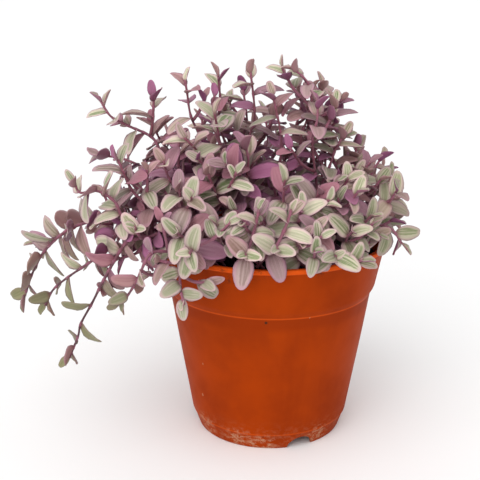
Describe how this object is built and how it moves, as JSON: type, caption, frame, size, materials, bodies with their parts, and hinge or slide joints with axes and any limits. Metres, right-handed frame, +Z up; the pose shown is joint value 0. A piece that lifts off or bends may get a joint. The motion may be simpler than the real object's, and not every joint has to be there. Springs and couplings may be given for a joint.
{
  "type": "potted turtle vine",
  "caption": "Small trailing house plant: a mound of stems with small oval leaves that hangs over one side of a tapered round grower pot filled with soil.",
  "frame": {"origin": "centre of the flat pad under the pot, on the surface that the pot stands on", "axes": "+Z up along the pot's axis, -Y towards the front, where the picture was taken from, and +X to the right, away from the side that the stems trail over"},
  "size_m": [0.2164, 0.1722, 0.2022],
  "materials": {
    "pot_plastic": "satin orange plastic, scuffed at the base",
    "potting_soil": "loose dark soil",
    "foliage": "smooth leaves, pale green with pinkish edges above and mauve below"
  },
  "bodies": {
    "root": {"pot": "pot_plastic", "soil": "potting_soil", "leafy_stem_back_1": "foliage", "leafy_stem_back_10": "foliage", "leafy_stem_back_11": "foliage", "leafy_stem_back_12": "foliage", "leafy_stem_back_13": "foliage", "leafy_stem_back_14": "foliage", "leafy_stem_back_15": "foliage", "leafy_stem_back_16": "foliage", "leafy_stem_back_2": "foliage", "leafy_stem_back_3": "foliage", "leafy_stem_back_4": "foliage", "leafy_stem_back_5": "foliage", "leafy_stem_back_6": "foliage", "leafy_stem_back_7": "foliage", "leafy_stem_back_8": "foliage", "leafy_stem_back_9": "foliage", "leafy_stem_front_1": "foliage", "leafy_stem_front_11": "foliage", "leafy_stem_front_12": "foliage", "leafy_stem_front_14": "foliage", "leafy_stem_front_15": "foliage", "leafy_stem_front_16": "foliage", "leafy_stem_front_17": "foliage", "leafy_stem_front_19": "foliage", "leafy_stem_front_2": "foliage", "leafy_stem_front_20": "foliage", "leafy_stem_front_21": "foliage", "leafy_stem_front_4": "foliage", "leafy_stem_front_5": "foliage", "leafy_stem_front_7": "foliage", "leafy_stem_front_8": "foliage", "leafy_stem_front_9": "foliage", "leafy_stem_left_back": "foliage", "leafy_stem_left_crown": "foliage", "leafy_stem_left_curl": "foliage", "leafy_stem_left_high": "foliage", "leafy_stem_left_long": "foliage", "leafy_stem_left_low": "foliage", "leafy_stem_left_near": "foliage", "leafy_stem_left_reach": "foliage", "leafy_stem_left_tall": "foliage", "leafy_stem_left_thin": "foliage", "leafy_stem_right_1": "foliage", "leafy_stem_right_2": "foliage", "leafy_stem_right_3": "foliage", "leafy_stem_right_4": "foliage", "leafy_stem_right_5": "foliage", "leafy_stem_top_1": "foliage", "leafy_stem_top_10": "foliage", "leafy_stem_top_2": "foliage", "leafy_stem_top_3": "foliage", "leafy_stem_top_4": "foliage", "leafy_stem_top_5": "foliage", "leafy_stem_top_7": "foliage", "leafy_stem_top_8": "foliage", "leafy_stem_top_9": "foliage"}
  },
  "joints": []
}
